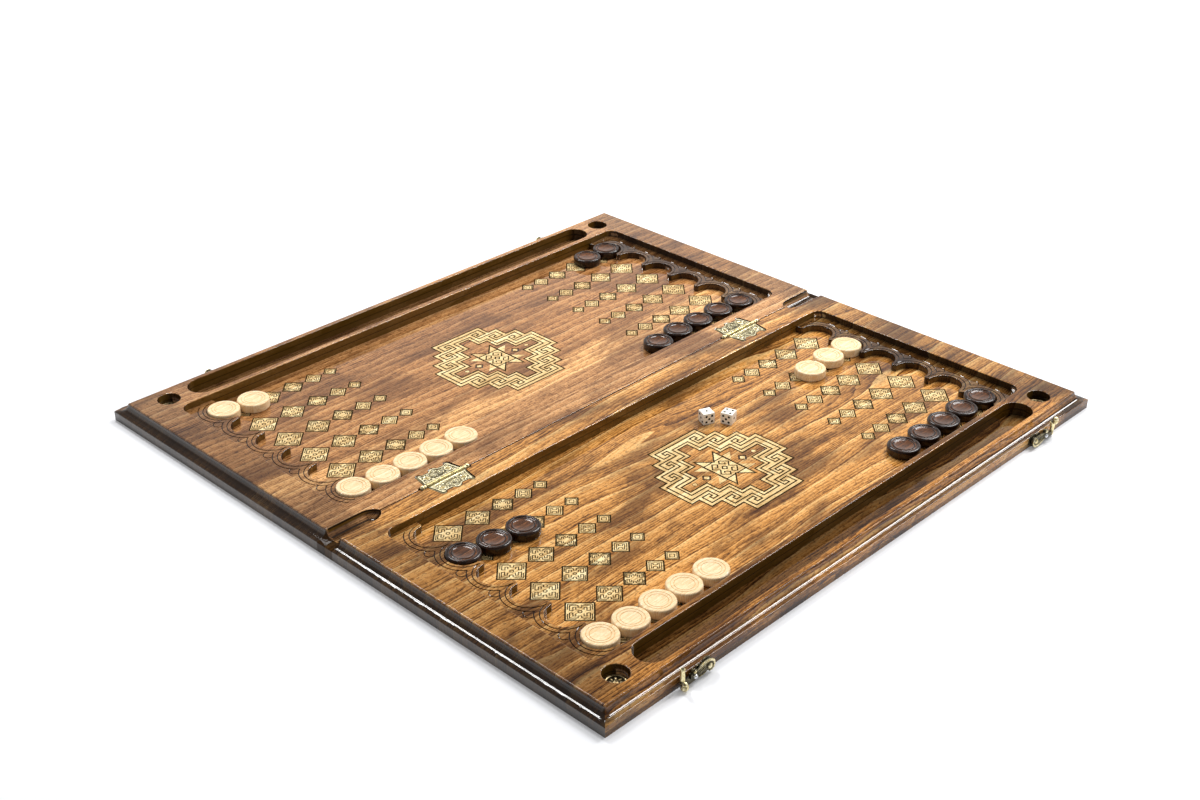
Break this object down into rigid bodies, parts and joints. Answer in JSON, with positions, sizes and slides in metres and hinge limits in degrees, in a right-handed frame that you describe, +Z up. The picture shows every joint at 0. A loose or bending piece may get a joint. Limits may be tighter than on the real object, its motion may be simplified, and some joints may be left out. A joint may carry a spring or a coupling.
{
  "type": "backgammon board",
  "caption": "Folding carved wooden backgammon board, hinged along the middle, with side trays, hook clasps, round checkers and dice.",
  "frame": {"origin": "under the middle of the hinge line, on the plane that the open board rests on", "axes": "+Z up; the hinge line runs along Y; the half with the hook clasps is at +X, the half with the catches at -X"},
  "size_m": [0.6004, 0.6, 0.019],
  "materials": {
    "board_wood_right": "glossy clear lacquer on stained wood, golden brown",
    "board_wood_left": "glossy clear lacquer on stained wood, brown",
    "pale_carving": "pale bare wood in the carving under lacquer",
    "carving_lines": "dark burnt lines",
    "brass": "antique pale brass with dark recesses",
    "brass_screws": "worn brass",
    "disc_metal": "darkened antique metal",
    "steel": "polished steel",
    "pale_checker": "pale turned wood, satin lacquer",
    "dark_checker": "dark turned wood, glossy lacquer",
    "dice": "ivory plastic with dark pips"
  },
  "bodies": {
    "right_half": {"panel_right": "board_wood_right", "well_disc_right_near": "disc_metal", "well_disc_right_far": "disc_metal", "hinge_leaf_right_near": "brass", "hinge_leaf_right_far": "brass", "hinge_screws_right": "brass_screws", "clasp_plate_near": "brass", "clasp_plate_far": "brass", "clasp_rivets": "brass", "clasp_nails": "brass_screws"},
    "left_half": {"panel_left": "board_wood_left", "well_disc_left_near": "disc_metal", "well_disc_left_far": "disc_metal", "hinge_leaf_left_near": "brass", "hinge_leaf_left_far": "brass", "hinge_screws_left": "brass_screws", "hinge_pin_near": "brass", "hinge_pin_far": "brass", "catch_near": "brass", "catch_far": "brass", "catch_nails": "brass_screws"},
    "hook_near": {"hook_near": "brass", "hook_stud_near": "steel"},
    "hook_far": {"hook_far": "brass", "hook_stud_far": "steel"},
    "die_1": {"die_1": "dice"},
    "die_2": {"die_2": "dice"},
    "checker_pale_01": {"checker_pale_01": "pale_checker"},
    "checker_pale_02": {"checker_pale_02": "pale_checker"},
    "checker_pale_03": {"checker_pale_03": "pale_checker"},
    "checker_pale_04": {"checker_pale_04": "pale_checker"},
    "checker_pale_05": {"checker_pale_05": "pale_checker"},
    "checker_pale_06": {"checker_pale_06": "pale_checker"},
    "checker_pale_07": {"checker_pale_07": "pale_checker"},
    "checker_pale_08": {"checker_pale_08": "pale_checker"},
    "checker_pale_09": {"checker_pale_09": "pale_checker"},
    "checker_pale_10": {"checker_pale_10": "pale_checker"},
    "checker_pale_11": {"checker_pale_11": "pale_checker"},
    "checker_pale_12": {"checker_pale_12": "pale_checker"},
    "checker_pale_13": {"checker_pale_13": "pale_checker"},
    "checker_pale_14": {"checker_pale_14": "pale_checker"},
    "checker_pale_15": {"checker_pale_15": "pale_checker"},
    "checker_dark_01": {"checker_dark_01": "dark_checker"},
    "checker_dark_02": {"checker_dark_02": "dark_checker"},
    "checker_dark_03": {"checker_dark_03": "dark_checker"},
    "checker_dark_04": {"checker_dark_04": "dark_checker"},
    "checker_dark_05": {"checker_dark_05": "dark_checker"},
    "checker_dark_06": {"checker_dark_06": "dark_checker"},
    "checker_dark_07": {"checker_dark_07": "dark_checker"},
    "checker_dark_08": {"checker_dark_08": "dark_checker"},
    "checker_dark_09": {"checker_dark_09": "dark_checker"},
    "checker_dark_10": {"checker_dark_10": "dark_checker"},
    "checker_dark_11": {"checker_dark_11": "dark_checker"},
    "checker_dark_12": {"checker_dark_12": "dark_checker"},
    "checker_dark_13": {"checker_dark_13": "dark_checker"},
    "checker_dark_14": {"checker_dark_14": "dark_checker"},
    "checker_dark_15": {"checker_dark_15": "dark_checker"}
  },
  "joints": [
    {"name": "board_fold", "type": "hinge", "parent": "right_half", "child": "left_half", "pos_m": [0, 0, 0.01615], "axis": [0, -1, 0], "range_deg": [-180, 0]},
    {"name": "hook_swing_near", "type": "hinge", "parent": "right_half", "child": "hook_near", "pos_m": [0.2945, -0.203, 0.006], "axis": [1, 0, 0], "range_deg": [-90, 0]},
    {"name": "hook_swing_far", "type": "hinge", "parent": "right_half", "child": "hook_far", "pos_m": [0.2945, 0.209, 0.006], "axis": [-1, 0, 0], "range_deg": [-90, 0]},
    {"name": "lift_die_1", "type": "slide", "parent": "right_half", "child": "die_1", "axis": [0, 0, 1], "range_m": [0, 0.04]},
    {"name": "lift_die_2", "type": "slide", "parent": "right_half", "child": "die_2", "axis": [0, 0, 1], "range_m": [0, 0.04]},
    {"name": "lift_checker_pale_01", "type": "slide", "parent": "left_half", "child": "checker_pale_01", "axis": [0, 0, 1], "range_m": [0, 0.04]},
    {"name": "lift_checker_pale_02", "type": "slide", "parent": "left_half", "child": "checker_pale_02", "axis": [0, 0, 1], "range_m": [0, 0.04]},
    {"name": "lift_checker_pale_03", "type": "slide", "parent": "left_half", "child": "checker_pale_03", "axis": [0, 0, 1], "range_m": [0, 0.04]},
    {"name": "lift_checker_pale_04", "type": "slide", "parent": "left_half", "child": "checker_pale_04", "axis": [0, 0, 1], "range_m": [0, 0.04]},
    {"name": "lift_checker_pale_05", "type": "slide", "parent": "left_half", "child": "checker_pale_05", "axis": [0, 0, 1], "range_m": [0, 0.04]},
    {"name": "lift_checker_pale_06", "type": "slide", "parent": "left_half", "child": "checker_pale_06", "axis": [0, 0, 1], "range_m": [0, 0.04]},
    {"name": "lift_checker_pale_07", "type": "slide", "parent": "left_half", "child": "checker_pale_07", "axis": [0, 0, 1], "range_m": [0, 0.04]},
    {"name": "lift_checker_pale_08", "type": "slide", "parent": "right_half", "child": "checker_pale_08", "axis": [0, 0, 1], "range_m": [0, 0.04]},
    {"name": "lift_checker_pale_09", "type": "slide", "parent": "right_half", "child": "checker_pale_09", "axis": [0, 0, 1], "range_m": [0, 0.04]},
    {"name": "lift_checker_pale_10", "type": "slide", "parent": "right_half", "child": "checker_pale_10", "axis": [0, 0, 1], "range_m": [0, 0.04]},
    {"name": "lift_checker_pale_11", "type": "slide", "parent": "right_half", "child": "checker_pale_11", "axis": [0, 0, 1], "range_m": [0, 0.04]},
    {"name": "lift_checker_pale_12", "type": "slide", "parent": "right_half", "child": "checker_pale_12", "axis": [0, 0, 1], "range_m": [0, 0.04]},
    {"name": "lift_checker_pale_13", "type": "slide", "parent": "right_half", "child": "checker_pale_13", "axis": [0, 0, 1], "range_m": [0, 0.04]},
    {"name": "lift_checker_pale_14", "type": "slide", "parent": "right_half", "child": "checker_pale_14", "axis": [0, 0, 1], "range_m": [0, 0.04]},
    {"name": "lift_checker_pale_15", "type": "slide", "parent": "right_half", "child": "checker_pale_15", "axis": [0, 0, 1], "range_m": [0, 0.04]},
    {"name": "lift_checker_dark_01", "type": "slide", "parent": "left_half", "child": "checker_dark_01", "axis": [0, 0, 1], "range_m": [0, 0.04]},
    {"name": "lift_checker_dark_02", "type": "slide", "parent": "left_half", "child": "checker_dark_02", "axis": [0, 0, 1], "range_m": [0, 0.04]},
    {"name": "lift_checker_dark_03", "type": "slide", "parent": "left_half", "child": "checker_dark_03", "axis": [0, 0, 1], "range_m": [0, 0.04]},
    {"name": "lift_checker_dark_04", "type": "slide", "parent": "left_half", "child": "checker_dark_04", "axis": [0, 0, 1], "range_m": [0, 0.04]},
    {"name": "lift_checker_dark_05", "type": "slide", "parent": "left_half", "child": "checker_dark_05", "axis": [0, 0, 1], "range_m": [0, 0.04]},
    {"name": "lift_checker_dark_06", "type": "slide", "parent": "left_half", "child": "checker_dark_06", "axis": [0, 0, 1], "range_m": [0, 0.04]},
    {"name": "lift_checker_dark_07", "type": "slide", "parent": "left_half", "child": "checker_dark_07", "axis": [0, 0, 1], "range_m": [0, 0.04]},
    {"name": "lift_checker_dark_08", "type": "slide", "parent": "right_half", "child": "checker_dark_08", "axis": [0, 0, 1], "range_m": [0, 0.04]},
    {"name": "lift_checker_dark_09", "type": "slide", "parent": "right_half", "child": "checker_dark_09", "axis": [0, 0, 1], "range_m": [0, 0.04]},
    {"name": "lift_checker_dark_10", "type": "slide", "parent": "right_half", "child": "checker_dark_10", "axis": [0, 0, 1], "range_m": [0, 0.04]},
    {"name": "lift_checker_dark_11", "type": "slide", "parent": "right_half", "child": "checker_dark_11", "axis": [0, 0, 1], "range_m": [0, 0.04]},
    {"name": "lift_checker_dark_12", "type": "slide", "parent": "right_half", "child": "checker_dark_12", "axis": [0, 0, 1], "range_m": [0, 0.04]},
    {"name": "lift_checker_dark_13", "type": "slide", "parent": "right_half", "child": "checker_dark_13", "axis": [0, 0, 1], "range_m": [0, 0.04]},
    {"name": "lift_checker_dark_14", "type": "slide", "parent": "right_half", "child": "checker_dark_14", "axis": [0, 0, 1], "range_m": [0, 0.04]},
    {"name": "lift_checker_dark_15", "type": "slide", "parent": "right_half", "child": "checker_dark_15", "axis": [0, 0, 1], "range_m": [0, 0.04]}
  ]
}
